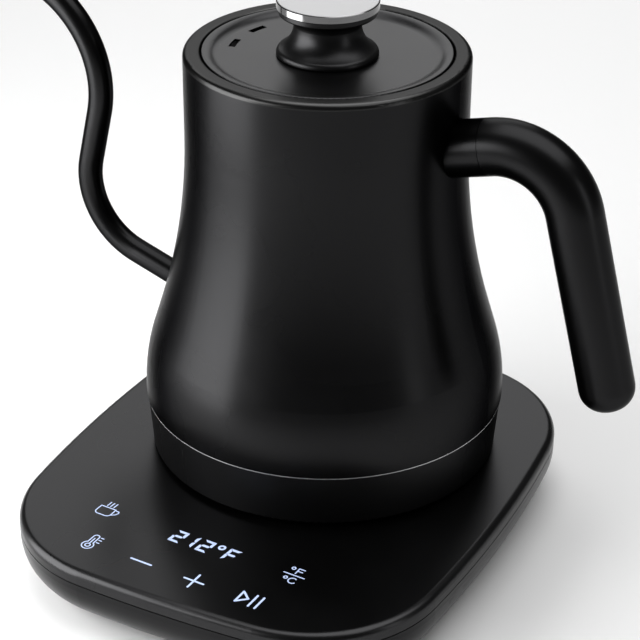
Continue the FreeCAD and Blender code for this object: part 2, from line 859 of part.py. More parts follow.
def connector():
    lug_top = f"{COLLAR_FLOOR} + lug_thick"
    outer = "socket_radius + socket_wall"
    deep = "ring_top + turning_play"
    socket = turned("kettle_connector", [
        ("socket_radius", "seat_height"),
        ("skirt_radius", "seat_height"),
        ("skirt_radius", COLLAR_FLOOR),
        ("lug_radius", COLLAR_FLOOR),
        ("lug_radius", lug_top),
        (outer, lug_top),
        (outer, "socket_top"),
        ("0", "socket_top"),
        ("0", deep),
        ("pin_contact + turning_play", deep),
        ("pin_contact + turning_play", "socket_roof"),
        ("ring_inner - turning_play", "socket_roof"),
        ("ring_inner - turning_play", deep),
        ("ring_outer + turning_play", deep),
        ("ring_outer + turning_play", "socket_roof"),
        ("socket_radius", "socket_roof"),
    ])
    sunk(socket, "lug_holes", COLLAR_FLOOR, lug_top, circles(LUGS[:1], THREAD_HOLE), 3)
    keep(socket, "kettle_connector")
    keep(screws("connector_screw_set", LUGS, lug_top, "small", "lug_screw_run", False), "connector_screws")

    tall = "ring_top - ring_low"
    centre = rod("contact_pin", "pin_contact", tall, "0", "0", "ring_low")
    ring = tubes("contact_ring", [("0", "0")], "ring_outer", "ring_inner", "ring_low", "ring_top")
    keep(group("contact_pin_and_ring", [centre, ring]), "contact_rings")

    tower = turned("base_connector", [
        ("0", "stem_low"),
        ("stem_radius", "stem_low"),
        ("stem_radius", CLAMP_LOW),
        ("clamp_radius", CLAMP_LOW),
        ("clamp_radius", COVER_UNDER),
        ("shoulder_radius", COVER_UNDER),
        ("shoulder_radius", "seat_height"),
        ("tower_radius", "seat_height"),
        ("tower_radius", "tower_top"),
        ("ring_outer + contact_play", "tower_top"),
        ("ring_outer + contact_play", "groove_low"),
        ("ring_inner - contact_play", "groove_low"),
        ("ring_inner - contact_play", "tower_top"),
        ("pin_contact + contact_play", "tower_top"),
        ("pin_contact + contact_play", "bore_low"),
        ("0", "bore_low"),
    ])
    sunk(tower, "clamp_holes", CLAMP_LOW, COVER_UNDER, circles(CLAMPS[:1], THREAD_HOLE), 3)
    keep(tower, "base_connector")
    clamp_screws = screws("clamp_screw_set", CLAMPS, CLAMP_LOW, "small", "clamp_screw_run", True)
    keep(clamp_screws, "base_connector_screws")

    ring_leaf = "ring_outer + leaf_play + leaf_thick / 2"
    pin_leaf = "pin_contact + leaf_play + leaf_thick / 2"
    ring_tall = "tower_top - groove_low - leaf_short"
    pin_tall = "tower_top - bore_low - leaf_short"
    leaves = [
        block("ring_leaf_back", "leaf_wide", "leaf_thick", ring_tall, "0", ring_leaf, "groove_low"),
        block("ring_leaf_front", "leaf_wide", "leaf_thick", ring_tall, "0", f"-({ring_leaf})", "groove_low"),
        block("pin_leaf", "leaf_thick", "leaf_wide", pin_tall, pin_leaf, "0", "bore_low"),
    ]
    keep(group("contact_leaves", leaves), "base_contacts")


# Lid and knob

LID_RADIUS = "(mouth_radius - lid_gap)"
LID_TOP = "(rim_height - lid_sink)"
DISH = "(rim_height - lid_sink - lid_drop)"
LINER_TOP = f"({LEDGE} + gasket_tall + lid_steel)"
KNOB_TOP = f"({DISH} + knob_tall)"


def slotted(body, name, low, high):
    """Two steam slots on the spout's side, each an arc about the Z axis."""
    for index, sign in enumerate(("-", "+"), start=1):
        start = f"slot_middle {sign} slot_turn - slot_sweep / 2"
        sketch = sketch_on(body, "XZ_Plane", f"{name}_{index}_outline")
        turn = FreeCAD.Rotation(FreeCAD.Vector(0, 1, 0), number(start))
        sketch.AttachmentOffset = FreeCAD.Placement(FreeCAD.Vector(), turn)
        bind(sketch, "AttachmentOffset.Rotation.Angle", start)
        near, far = "slot_radius - slot_width / 2", "slot_radius + slot_width / 2"
        draw(sketch, [(near, low), (far, low), (far, high), (near, high)])
        groove = body.newObject("PartDesign::Groove", f"{name}_{index}")
        groove.Profile = sketch
        groove.ReferenceAxis = (sketch, ["V_Axis"])
        bind(groove, "Angle", "slot_sweep")


def lid():
    half_slope = f"({LID_RADIUS} - lid_lip - dish_radius) / 2"
    slope_arc = f"(({half_slope})^2 + lid_drop^2 / 4) / lid_drop"
    cover = turned("lid_cover", [
        (f"{LID_RADIUS} - lid_steel", LINER_TOP),
        (LID_RADIUS, LINER_TOP),
        (LID_RADIUS, f"{LID_TOP} - lid_edge"),
        (f"{LID_RADIUS} - lid_edge", LID_TOP, "lid_edge"),
        (f"{LID_RADIUS} - lid_lip", LID_TOP),
        (f"dish_radius + {half_slope}", f"{LID_TOP} - lid_drop / 2", slope_arc),
        ("dish_radius", DISH, f"-({slope_arc})"),
        ("knob_bore", DISH),
        ("knob_bore", f"{DISH} - lid_steel"),
        ("dish_radius", f"{DISH} - lid_steel"),
        (f"{LID_RADIUS} - lid_lip", f"{LID_TOP} - lid_steel"),
        (f"{LID_RADIUS} - lid_steel", f"{LID_TOP} - lid_steel"),
    ])
    slotted(cover, "cover_slot", f"{DISH} - lid_drop", LID_TOP)
    keep(cover, "lid_cover")

    pan_low = f"{LINER_TOP} - lid_steel - liner_deep"
    liner = turned("lid_liner", [
        ("0", pan_low),
        ("liner_radius", pan_low),
        ("liner_radius", f"{LINER_TOP} - lid_steel"),
        (LID_RADIUS, f"{LINER_TOP} - lid_steel"),
        (LID_RADIUS, LINER_TOP),
        ("liner_radius - lid_steel", LINER_TOP),
        ("liner_radius - lid_steel", f"{pan_low} + lid_steel"),
        ("0", f"{pan_low} + lid_steel"),
    ])
    slotted(liner, "liner_slot", f"{pan_low} - lid_steel", f"{pan_low} + lid_steel * 2")
    keep(liner, "lid_liner")

    inner = "mouth_radius - ledge_width + thread_play"
    outer = f"{LID_RADIUS} - thread_play"
    keep(tubes("lid_seal", [("0", "0")], outer, inner, LEDGE, f"{LINER_TOP} - lid_steel"), "lid_gasket")


def knob():
    foot = f"{DISH} + knob_foot_round"
    flange_low = f"{KNOB_TOP} - knob_flange_tall"
    neck = turned("knob_neck", [
        ("knob_bore", DISH),
        ("knob_foot - knob_foot_round", DISH),
        ("knob_foot", foot, "knob_foot_round"),
        ("knob_foot - knob_shoulder * (1 - cos(knob_shoulder_turn))",
         f"{foot} + knob_shoulder * sin(knob_shoulder_turn)", "knob_shoulder"),
        ("knob_waist", f"{DISH} + knob_waist_height", "-knob_flare"),
        ("knob_waist + knob_top_flare", flange_low, "-knob_top_flare"),
        ("knob_flange - knob_foot_round", flange_low),
        ("knob_flange", f"{flange_low} + knob_foot_round", "knob_foot_round"),
        ("knob_flange", KNOB_TOP),
        ("spigot_radius + thread_play", KNOB_TOP),
        ("spigot_radius + thread_play", f"{KNOB_TOP} - spigot_deep - thread_play"),
        ("knob_bore", f"{KNOB_TOP} - spigot_deep - thread_play"),
    ])
    keep(neck, "knob_neck")

    cap_top = f"{KNOB_TOP} + cap_thick"
    cap = turned("knob_cap", [
        (THREAD_HOLE, f"{KNOB_TOP} - spigot_deep"),
        ("spigot_radius", f"{KNOB_TOP} - spigot_deep"),
        ("spigot_radius", KNOB_TOP),
        ("cap_radius - cap_chamfer", KNOB_TOP),
        ("cap_radius", f"{KNOB_TOP} + cap_chamfer"),
        ("cap_radius", f"{cap_top} - cap_chamfer"),
        ("cap_radius - cap_chamfer", cap_top),
        ("0", cap_top),
        ("0", KNOB_TOP),
        (THREAD_HOLE, KNOB_TOP),
    ])
    keep(cap, "knob_cap")

    washer_low = f"{DISH} - lid_steel * 2"
    centre = [("0", "0")]
    lid_under = f"{DISH} - lid_steel"
    washer = tubes("knob_washer_ring", centre, "washer_radius", THREAD_HOLE, washer_low, lid_under)
    keep(washer, "knob_washer")
    keep(screws("knob_screw_set", centre, washer_low, "small", "knob_screw_run", True), "knob_screw")


# Power base

CASE_SPOTS = [
    ("case_screw_x", "case_screw_back"),
    ("-case_screw_x", "case_screw_back"),
    ("case_screw_x", "case_screw_front"),
    ("-case_screw_x", "case_screw_front"),
]
SHELL_FLOOR = "(base_underside + base_wall)"
BACK_WALL = "(base_half_y - base_forward - base_wall)"
CASE_SEAT = f"({SHELL_FLOOR} + case_seat)"
CASE_HOLE = "case_shank + thread_play"
PANEL_LOW = "(panel_board_top - board_thick)"
POWER_LOW = "(power_board_top - board_thick)"


def corners_of(x, y, long, wide, margin):
    return [
        (f"{x} {sign_x} (({long}) / 2 - {margin})", f"{y} {sign_y} (({wide}) / 2 - {margin})")
        for sign_x in "+-" for sign_y in "+-"
    ]


PANEL_SPOTS = corners_of(
    "panel_board_x", "panel_board_y", "panel_board_long", "panel_board_wide", "panel_screw_inset"
)
POWER_SPOTS = corners_of("0", "power_board_y", "power_board_long", "power_board_wide", "power_screw_inset")


def base_cover():
    cover = new_body("base_top_cover")
    skirt = raised(cover, "cover_skirt", "base_split + split_gap", "base_top", base_outline("0"))
    rounded(cover, "cover_edge", skirt, "base_top_edge", lies_at("base_top"))
    raised(cover, "cover_tongue", "base_split", COVER_UNDER, base_outline("split_depth"))
    sunk(cover, "cover_hollow", "base_split", COVER_UNDER, base_outline("base_wall"))
    rooted = f"{COVER_UNDER} + boss_root"
    pilot_top = f"{COVER_UNDER} + pilot_deep"
    raised(cover, "cover_bosses", "base_split", rooted, circles(CASE_SPOTS, "case_post"))
    raised(cover, "cover_panel_posts", "panel_board_top", rooted, circles(PANEL_SPOTS, "small_head"))
    sunk(cover, "cover_pilots", "base_split", pilot_top, circles(CASE_SPOTS, CASE_HOLE))
    sunk(cover, "cover_panel_pilots", "panel_board_top", pilot_top, circles(PANEL_SPOTS, THREAD_HOLE))
    well = circles([("0", "0")], "shoulder_radius + skirt_play")
    sunk(cover, "cover_well", "base_split", "base_top", well)
    clamp_top = f"{COVER_UNDER} + clamp_pilot"
    sunk(cover, "cover_clamp_pilots", "base_split", clamp_top, circles(CLAMPS[:1], THREAD_HOLE), 3)
    keep(cover, "base_top_cover")


def base_shell():
    shell = new_body("base_shell_moulded")
    raised(shell, "shell_side", "base_underside", "base_split", base_outline("0"))
    hollow = sunk(shell, "shell_hollow", SHELL_FLOOR, "base_split", base_outline("base_wall"))
    inner_edge = "base_low_edge - base_wall"
    inside = rounded(shell, "shell_inner_edge", hollow, inner_edge, lies_at(SHELL_FLOOR))
    rounded(shell, "shell_edge", inside, "base_low_edge", lies_at("base_underside"))
    rooted = "base_underside + post_root"
    raised(shell, "shell_posts", rooted, "base_split", circles(CASE_SPOTS, "case_post"))
    raised(shell, "power_posts", rooted, POWER_LOW, circles(POWER_SPOTS, "small_head"))
    sunk(shell, "shell_screw_holes", "base_underside", "base_split", circles(CASE_SPOTS, CASE_HOLE))
    head_hole = "case_head + thread_play"
    sunk(shell, "shell_head_holes", "base_underside", CASE_SEAT, circles(CASE_SPOTS, head_hole))
    sunk(shell, "power_pilots", SHELL_FLOOR, POWER_LOW, circles(POWER_SPOTS, THREAD_HOLE))
    foot_strip = base_outline("foot_inset", "foot_inset + foot_width")
    foot_top = "base_underside + foot_sink"
    sunk(shell, "foot_groove", "base_underside", foot_top, foot_strip)
    hole = rod("grommet_hole", "grommet_radius + thread_play", "base_wall * 3", "0", "0", "0")
    at_back(hole, f"{BACK_WALL} - base_wall")
    keep(cut("base_shell_pierced", shell, hole), "base_bottom_shell")
    keep(screws("case_screw_set", CASE_SPOTS, CASE_SEAT, "case", "case_screw_run", True), "base_screws")

    foot = new_body("foot_ring")
    raised(foot, "foot_pad", "0", foot_top, foot_strip)
    keep(foot, "foot_ring")


def at_back(item, y):
    """Turn a piece so that its own Z axis points out of the back wall, at the cord's height."""
    item.Placement = FreeCAD.Placement(FreeCAD.Vector(), FreeCAD.Rotation(FreeCAD.Vector(1, 0, 0), -90))
    place(item, "0", y, "grommet_height")


def drilled(label, base, spots, low):
    holes = [
        rod(f"{label}_hole_{index}", THREAD_HOLE, "board_thick", x, y, low)
        for index, (x, y) in enumerate(spots, start=1)
    ]
    return cut(f"{label}_drilled", base, group(f"{label}_holes", holes))


def electronics():
    panel = block("panel_sheet", "panel_board_long", "panel_board_wide", "board_thick", "panel_board_x",
                  "panel_board_y", PANEL_LOW)
    keep(drilled("panel", panel, PANEL_SPOTS, PANEL_LOW), "control_board")
    fixings = screws("panel_screw_set", PANEL_SPOTS, PANEL_LOW, "small", "panel_screw_run", True)
    keep(fixings, "control_board_screws")
    display = block("display_block", "display_long", "display_wide", "display_tall", "display_x", "display_y",
                    "panel_board_top")
    keep(display, "display_module")
    keys = [(f"{key}_key_x", f"{key}_key_y") for key in ("boil", "hold", "less", "more", "start", "unit")]
    springs = tubes("touch_spring_set", keys, "spring_radius", "spring_bore", "panel_board_top", COVER_UNDER)
    keep(springs, "touch_springs")

    power = block("power_sheet", "power_board_long", "power_board_wide", "board_thick", "0", "power_board_y",
                  POWER_LOW)
    keep(drilled("power", power, POWER_SPOTS, POWER_LOW), "power_board")
    fixings = screws("power_screw_set", POWER_SPOTS, "power_board_top", "small", "power_screw_run", False)
    keep(fixings, "power_board_screws")
    relay = block("relay_case", "relay_long", "relay_wide", "relay_tall", "relay_x", "power_board_y",
                  "power_board_top")
    keep(relay, "relay")
    transformer = block("transformer_case", "transformer_long", "transformer_wide", "transformer_tall",
                        "transformer_x", "power_board_y", "power_board_top")
    keep(transformer, "transformer")
    terminals = block("terminal_case", "terminal_long", "terminal_wide", "terminal_wide", "terminal_x",
                      "terminal_y", "power_board_top")
    keep(terminals, "terminal_block")
    capacitor = rod("capacitor_can", "capacitor_radius", "capacitor_tall", "capacitor_x", "capacitor_y",
                    "power_board_top")
    keep(capacitor, "capacitor")
    buzzer = rod("buzzer_can", "buzzer_radius", "buzzer_tall", "buzzer_x", "buzzer_y", "power_board_top")
    keep(buzzer, "buzzer")

    middle = "(ribbon_front + ribbon_back) / 2"
    ribbon = [
        block("ribbon_floor", "ribbon_wide", "ribbon_back - ribbon_front", "ribbon_thick", "ribbon_x", middle,
              SHELL_FLOOR),
        block("ribbon_front_end", "ribbon_wide", "ribbon_thick", f"{PANEL_LOW} - {SHELL_FLOOR}", "ribbon_x",
              "ribbon_front + ribbon_thick / 2", SHELL_FLOOR),
        block("ribbon_back_end", "ribbon_wide", "ribbon_thick", f"{POWER_LOW} - {SHELL_FLOOR}", "ribbon_x",
              "ribbon_back - ribbon_thick / 2", SHELL_FLOOR),
    ]
    keep(fuse("ribbon_strip", ribbon), "ribbon_cable")

    bush = turned("cord_grommet", [
        ("cord_bore", "-grommet_edge - grommet_slack"),
        ("grommet_lip", "-grommet_edge - grommet_slack"),
        ("grommet_lip", "-grommet_slack"),
        ("grommet_radius", "-grommet_slack"),
        ("grommet_radius", "base_wall + thread_play"),
        ("grommet_lip", "base_wall + thread_play"),
        ("grommet_lip - grommet_edge / 2", "base_wall + grommet_edge * 2"),
        ("cord_bore", "base_wall + grommet_edge * 2"),
    ])
    at_back(bush, BACK_WALL)
    keep(bush, "cord_grommet")


envelope = body_envelope()
body_shell(spout(envelope))
handle(envelope)
heater()
collar()
connector()
lid()
knob()
base_cover()
base_shell()
electronics()

doc.recompute()
failed = [item.Name for item in doc.Objects if {"Invalid", "Error"} & set(item.State)]
if failed:
    raise RuntimeError(f"failed objects: {failed}")
for item in doc.Objects:
    if item.TypeId in ("PartDesign::Pocket", "PartDesign::Groove"):
        if item.Shape.Volume > item.BaseFeature.Shape.Volume - 1e-3:
            raise RuntimeError(f"{item.Name} removes nothing")
for label, item in nodes:
    if item.Shape.isNull() or not item.Shape.isValid():
        raise RuntimeError(f"{label} has no valid shape")

os.makedirs("parts", exist_ok=True)
for label, item in nodes:
    item.Shape.exportStep(f"parts/{label}.step")
    box = item.Shape.optimalBoundingBox()
    spans = [f"{low:.1f}..{high:.1f}" for low, high in
             ((box.XMin, box.XMax), (box.YMin, box.YMax), (box.ZMin, box.ZMax))]
    print(label, len(item.Shape.Solids), f"{item.Shape.Volume:.0f}", *spans)
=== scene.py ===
import math

import bmesh
import bpy
from mathutils import Matrix, Vector


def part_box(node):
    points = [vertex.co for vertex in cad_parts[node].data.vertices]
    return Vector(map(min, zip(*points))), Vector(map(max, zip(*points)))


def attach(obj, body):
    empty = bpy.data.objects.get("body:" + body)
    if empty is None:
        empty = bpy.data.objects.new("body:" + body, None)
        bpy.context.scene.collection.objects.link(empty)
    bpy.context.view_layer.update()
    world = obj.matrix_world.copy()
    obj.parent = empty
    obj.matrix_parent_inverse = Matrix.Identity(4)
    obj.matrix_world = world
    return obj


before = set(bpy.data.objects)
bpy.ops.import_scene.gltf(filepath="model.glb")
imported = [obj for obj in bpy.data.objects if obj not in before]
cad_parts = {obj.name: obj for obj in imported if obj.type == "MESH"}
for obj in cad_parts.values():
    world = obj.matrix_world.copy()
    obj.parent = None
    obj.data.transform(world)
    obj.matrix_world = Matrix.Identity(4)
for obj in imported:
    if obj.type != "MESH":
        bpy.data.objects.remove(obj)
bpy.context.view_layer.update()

bl_info = {
    "name": "Gooseneck kettle",
    "version": (1, 0, 0),
    "blender": (4, 5, 0),
    "location": "View3D > Sidebar > Kettle",
    "description": "Finishes, lit legends and studio for a gooseneck kettle on its power base",
    "category": "Object",
}

MM = 0.001
COVER_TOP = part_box("base_top_cover")[1].z


# Settings

class KettleFinishes(bpy.types.PropertyGroup):
    """Colours and gloss of the kettle's surfaces

    A black finish is given by its reflection, its roughness and the reflection of its outline.
    """
    paint: bpy.props.FloatVectorProperty(
        name="Paint", description="Satin paint of the body, spout and handle boss",
        size=3, min=0, max=1, default=(0.018, 0.28, 0.4))
    lid_paint: bpy.props.FloatVectorProperty(
        name="Lid paint", description="Satin paint of the lid",
        size=3, min=0, max=1, default=(0.04, 0.33, 0.85))
    grip: bpy.props.FloatVectorProperty(
        name="Grip", description="Moulding of the handle's grip",
        size=3, min=0, max=1, default=(0.02, 0.31, 0.6))
    knob: bpy.props.FloatVectorProperty(
        name="Knob", description="Moulding of the knob's neck",
        size=3, min=0, max=1, default=(0.028, 0.34, 0.75))
    collar: bpy.props.FloatVectorProperty(
        name="Collar", description="Moulding of the collar under the body",
        size=3, min=0, max=1, default=(0.034, 0.38, 0.25))
    cover: bpy.props.FloatVectorProperty(
        name="Base cover", description="Moulding on top of the power base",
        size=3, min=0, max=1, default=(0.035, 0.29, 0.85))
    shell: bpy.props.FloatVectorProperty(
        name="Base shell", description="Moulding under the power base",
        size=3, min=0, max=1, default=(0.02, 0.31, 1.0))
    # Painted highlight: the rim's rounded edge and its flat top get a brighter reflection of the same paint
    # than the rest of the body, standing in for light caught there
    rim_edge_highlight: bpy.props.FloatProperty(
        name="Rim edge", description="Reflection of the paint on the rim's rounded edge",
        subtype="FACTOR", min=0, max=1, default=0.038)
    rim_flat_highlight: bpy.props.FloatProperty(
        name="Rim flat", description="Reflection of the paint on the rim's flat top",
        subtype="FACTOR", min=0, max=1, default=0.075)
    cap: bpy.props.FloatVectorProperty(
        name="Knob cap", description="Turned stainless steel on top of the knob",
        subtype="COLOR", size=3, min=0, max=1, default=(0.45, 0.45, 0.455))
    # Painted shade: the cap's polished side is darkened to a share of its top's tone, standing in for the
    # dark surroundings it reflects
    cap_side_shade: bpy.props.FloatProperty(
        name="Knob cap's side", description="Tone of the cap's polished side, as a share of its top's",
        subtype="FACTOR", min=0, max=1, default=0.4)
    cap_gloss: bpy.props.FloatVectorProperty(
        name="Knob cap's gloss", description="Roughness of the cap's side and of its top",
        size=2, min=0, max=1, default=(0.14, 0.40))
    steel: bpy.props.FloatVectorProperty(
        name="Inner steel", description="Brushed steel inside the kettle and lid",
        subtype="COLOR", size=3, min=0, max=1, default=(0.56, 0.56, 0.57))
    steel_roughness: bpy.props.FloatProperty(
        name="Inner steel roughness", description="Middle roughness of the brushed steel",
        subtype="FACTOR", min=0, max=1, default=0.34)
    light: bpy.props.FloatVectorProperty(
        name="Legend light", description="Colour that the legends shine in",
        subtype="COLOR", size=3, min=0, max=1, default=(0.48, 0.58, 0.84))


class LegendSizes(bpy.types.PropertyGroup):
    """Sizes of the lit legends on the touch panel"""
    turn: bpy.props.FloatProperty(
        name="Turn", description="Turn of every legend on the panel",
        subtype="ANGLE", default=math.radians(-3.4))
    thick: bpy.props.FloatProperty(
        name="Thickness", description="How far the legends stand above the cover",
        unit="LENGTH", min=0, default=0.05 * MM)
    digit_tall: bpy.props.FloatProperty(
        name="Digit height", description="Height of the temperature's digits",
        unit="LENGTH", min=0, default=7.1 * MM)
    digit_wide: bpy.props.FloatProperty(
        name="Digit width", description="Width of one digit",
        unit="LENGTH", min=0, default=4.7 * MM)
    digit_stroke: bpy.props.FloatProperty(
        name="Digit stroke", description="Width of a digit's segments",
        unit="LENGTH", min=0, default=1.1 * MM)
    digit_gap: bpy.props.FloatProperty(
        name="Digit gap", description="Gap between a digit's segments",
        unit="LENGTH", min=0, default=0.12 * MM)
    digit_slant: bpy.props.FloatProperty(
        name="Digit slant", description="Lean of the digits",
        subtype="ANGLE", default=math.radians(4.7))
    key_stroke: bpy.props.FloatProperty(
        name="Key stroke", description="Width of the minus, plus and pause strokes",
        unit="LENGTH", min=0, default=0.78 * MM)
    icon_stroke: bpy.props.FloatProperty(
        name="Icon stroke", description="Width of the fine lines of the icons",
        unit="LENGTH", min=0, default=0.43 * MM)


class FittingSizes(bpy.types.PropertyGroup):
    """Sizes where one finish of the kettle ends and the next begins"""
    seam_reach: bpy.props.FloatProperty(
        name="Seam reach", description="How far the bare seam stands past the collar",
        unit="LENGTH", min=0, default=0.3 * MM)
    seam_width: bpy.props.FloatProperty(
        name="Seam width", description="Width of the bare seam, from its inner to its outer side",
        unit="LENGTH", min=0, default=1.2 * MM)
    seam_play: bpy.props.FloatProperty(
        name="Seam play", description="Gap over and under the bare seam",
        unit="LENGTH", min=0, default=0.03 * MM)
    # The rim's two depths bound the painted highlight laid over its rounded edge and its flat top
    rim_edge_depth: bpy.props.FloatProperty(
        name="Rim edge depth", description="Depth of the rim's rounded edge",
        unit="LENGTH", min=0, default=2.2 * MM)
    rim_flat_depth: bpy.props.FloatProperty(
        name="Rim flat depth", description="Depth under the rim's top that counts as its flat",
        unit="LENGTH", min=0, default=0.4 * MM)
    paint_depth: bpy.props.FloatProperty(
        name="Paint depth", description="How far the paint reaches down into the mouth",
        unit="LENGTH", min=0, default=8.6 * MM)
    cap_edge_depth: bpy.props.FloatProperty(
        name="Cap edge depth", description="Depth under the cap's top that counts as its face",
        unit="LENGTH", min=0, default=0.25 * MM)


class StudioSettings(bpy.types.PropertyGroup):
    """Floor, light and camera"""
    floor: bpy.props.FloatVectorProperty(
        name="Floor", description="Colour of the studio floor",
        subtype="COLOR", size=3, min=0, max=1, default=(0.90, 0.90, 0.90))
    floor_reach: bpy.props.FloatProperty(
        name="Floor reach", description="Distance from the kettle to the floor's sides",
        unit="LENGTH", min=0, default=6.0)
    surround: bpy.props.FloatProperty(
        name="Surround", description="Strength of the even light from all round",
        min=0, default=0.10)
    lens: bpy.props.FloatProperty(
        name="Lens", description="Focal length on a 36 mm sensor, in millimetres",
        min=1, default=112.96)


# Softboxes: place, target, width, height and watts
SOFTBOXES = {
    "left_softbox": ((-0.317, -0.247, 0.19), (0, 0, 0.13), 0.34, 0.37, 2.8),
    "front_softbox": ((-0.42, -0.92, 0.42), (0, 0, 0.12), 0.35, 0.45, 2.0),
    "back_softbox": ((-0.62, 0.95, 0.78), (0, 0, 0.10), 1.2, 0.7, 4.4),
    "right_strip": ((1.0, -0.09, 0.35), (0, 0, 0.10), 0.20, 0.6, 0.7),
    "top_softbox": ((0.3, 0.25, 1.6), (0.3, 0.25, 0), 2.0, 1.5, 23),
}

# Where a Mix node's two inputs and its result stand, for colours and for values
MIX_SOCKETS = {"RGBA": (6, 7, 2), "FLOAT": (2, 3, 0)}
# Part of a noise's range that holds nearly all of it
NOISE_LOW, NOISE_HIGH = 0.3, 0.7
# Grain of the paint, the kettle's mouldings, the base's mouldings and bare metal, in grains to the metre
PAINT_GRAIN, KETTLE_GRAIN, BASE_GRAIN, METAL_GRAIN = 3200.0, 2600.0, 2200.0, 900.0
# Height that a full bump of grain or of turned rings stands for
GRAIN_RISE, RING_RISE = 0.04 * MM, 0.02 * MM
# How far the gloss drifts to either side of its middle
GRAIN_DRIFT, RING_DRIFT = 0.03, 0.05
# A black finish is this much bluer than grey
BLUE_SHARE = 1.03
# Light and dark of turned rings, mottle of a lit legend, and its tones when unlit
RING_TONES = (0.94, 1.05)
GLOW_MOTTLE = 0.97
UNLIT_TONES = (0.3, 0.4)
# Corners of a stroke are rounded by just under half its width
STROKE_ROUND = 0.48
FULL_TURN = 360
DEGREES_PER_STEP = 12
SEAM_STEPS = 240
SENSOR_WIDE = 36


# Node building

def group_of(name, inputs, outputs):
    """New shader node group with named float inputs and outputs."""
    tree = bpy.data.node_groups.new(name, "ShaderNodeTree")
    for label, default in inputs:
        socket = tree.interface.new_socket(label, in_out="INPUT", socket_type="NodeSocketFloat")
        socket.default_value = default
    for label in outputs:
        tree.interface.new_socket(label, in_out="OUTPUT", socket_type="NodeSocketFloat")
    return tree, tree.nodes.new("NodeGroupInput"), tree.nodes.new("NodeGroupOutput")


def math_node(tree, operation, first, second=None):
    node = tree.nodes.new("ShaderNodeMath")
    node.operation = operation
    for socket, value in zip(node.inputs, (first, second)):
        if isinstance(value, bpy.types.NodeSocket):
            tree.links.new(value, socket)
        elif value is not None:
            socket.default_value = value
    return node.outputs[0]


def noise_node(tree, vector, scale, detail=2.0):
    node = tree.nodes.new("ShaderNodeTexNoise")
    node.inputs["Detail"].default_value = detail
    tree.links.new(vector, node.inputs["Vector"])
    if isinstance(scale, bpy.types.NodeSocket):
        tree.links.new(scale, node.inputs["Scale"])
    else:
        node.inputs["Scale"].default_value = scale
    return node.outputs["Fac"]


def object_coordinates(tree):
    return tree.nodes.new("ShaderNodeTexCoord").outputs["Object"]


def grain_group():
    """Fine grain of paint and mouldings, with a slow drift of tone over it."""
    scales = [("Grain scale", 2500.0), ("Drift scale", 18.0)]
    tree, given, result = group_of("Grain", scales, ["Grain", "Drift"])
    place = object_coordinates(tree)
    tree.links.new(noise_node(tree, place, given.outputs["Grain scale"]), result.inputs["Grain"])
    tree.links.new(noise_node(tree, place, given.outputs["Drift scale"], 4.0), result.inputs["Drift"])
    return tree


def turned_group():
    """Fine rings of a turned face, about the kettle's own axis."""
    tree, given, result = group_of("Turned rings", [("Ring scale", 3000.0)], ["Rings"])
    parts = tree.nodes.new("ShaderNodeSeparateXYZ")
    tree.links.new(object_coordinates(tree), parts.inputs[0])
    square = math_node(tree, "MULTIPLY", parts.outputs[0], parts.outputs[0])
    other = math_node(tree, "MULTIPLY", parts.outputs[1], parts.outputs[1])
    reach = math_node(tree, "SQRT", math_node(tree, "ADD", square, other))
    rings = tree.nodes.new("ShaderNodeCombineXYZ")
    tree.links.new(reach, rings.inputs[0])
    tree.links.new(parts.outputs[2], rings.inputs[1])
    tree.links.new(noise_node(tree, rings.outputs[0], given.outputs["Ring scale"]), result.inputs["Rings"])
    return tree


def above_group():
    """One above a height, nought under it, with a short step between."""
    tree, given, result = group_of("Above", [("Height", 0.0), ("Step", 0.2 * MM)], ["Above"])
    parts = tree.nodes.new("ShaderNodeSeparateXYZ")
    tree.links.new(object_coordinates(tree), parts.inputs[0])
    over = math_node(tree, "SUBTRACT", parts.outputs[2], given.outputs["Height"])
    share = math_node(tree, "DIVIDE", over, given.outputs["Step"])
    share = math_node(tree, "MAXIMUM", share, 0.0)
    tree.links.new(math_node(tree, "MINIMUM", share, 1.0), result.inputs["Above"])
    return tree


def inside_group():
    """One on walls that face the kettle's axis and on its floor, under a height, nought elsewhere."""
    tree, given, result = group_of("Inside", [("Height", 0.0)], ["Inside"])
    surface = tree.nodes.new("ShaderNodeTexCoord")
    place = tree.nodes.new("ShaderNodeSeparateXYZ")
    tree.links.new(surface.outputs["Object"], place.inputs[0])
    facing = tree.nodes.new("ShaderNodeSeparateXYZ")
    tree.links.new(surface.outputs["Normal"], facing.inputs[0])
    along_x = math_node(tree, "MULTIPLY", place.outputs[0], facing.outputs[0])
    along_y = math_node(tree, "MULTIPLY", place.outputs[1], facing.outputs[1])
    outward = math_node(tree, "ADD", along_x, along_y)
    # A flat floor passes, a flat underside doesn't
    upward = math_node(tree, "MULTIPLY", facing.outputs[2], MM)
    inward = math_node(tree, "LESS_THAN", outward, upward)
    low = math_node(tree, "LESS_THAN", place.outputs[2], given.outputs["Height"])
    tree.links.new(math_node(tree, "MULTIPLY", low, inward), result.inputs["Inside"])
    return tree


def spread(tree, value, low, high):
    """Map a noise to the range low to high."""
    node = tree.nodes.new("ShaderNodeMapRange")
    node.inputs["From Min"].default_value = NOISE_LOW
    node.inputs["From Max"].default_value = NOISE_HIGH
    node.inputs["To Min"].default_value = low
    node.inputs["To Max"].default_value = high
    tree.links.new(value, node.inputs["Value"])
    return node.outputs["Result"]


def tinted(tree, value, dark, light):
    """Mix of two colours by a noise."""
    first, second, result = MIX_SOCKETS["RGBA"]
    node = tree.nodes.new("ShaderNodeMix")
    node.data_type = "RGBA"
    tree.links.new(spread(tree, value, 0, 1), node.inputs["Factor"])
    node.inputs[first].default_value = (*dark, 1)
    node.inputs[second].default_value = (*light, 1)
    return node.outputs[result]


def raised_by(tree, height, strength, distance):
    node = tree.nodes.new("ShaderNodeBump")
    node.inputs["Strength"].default_value = strength
    node.inputs["Distance"].default_value = distance
    tree.links.new(height, node.inputs["Height"])
    return node.outputs["Normal"]


def shared(name, build):
    return bpy.data.node_groups.get(name) or build()


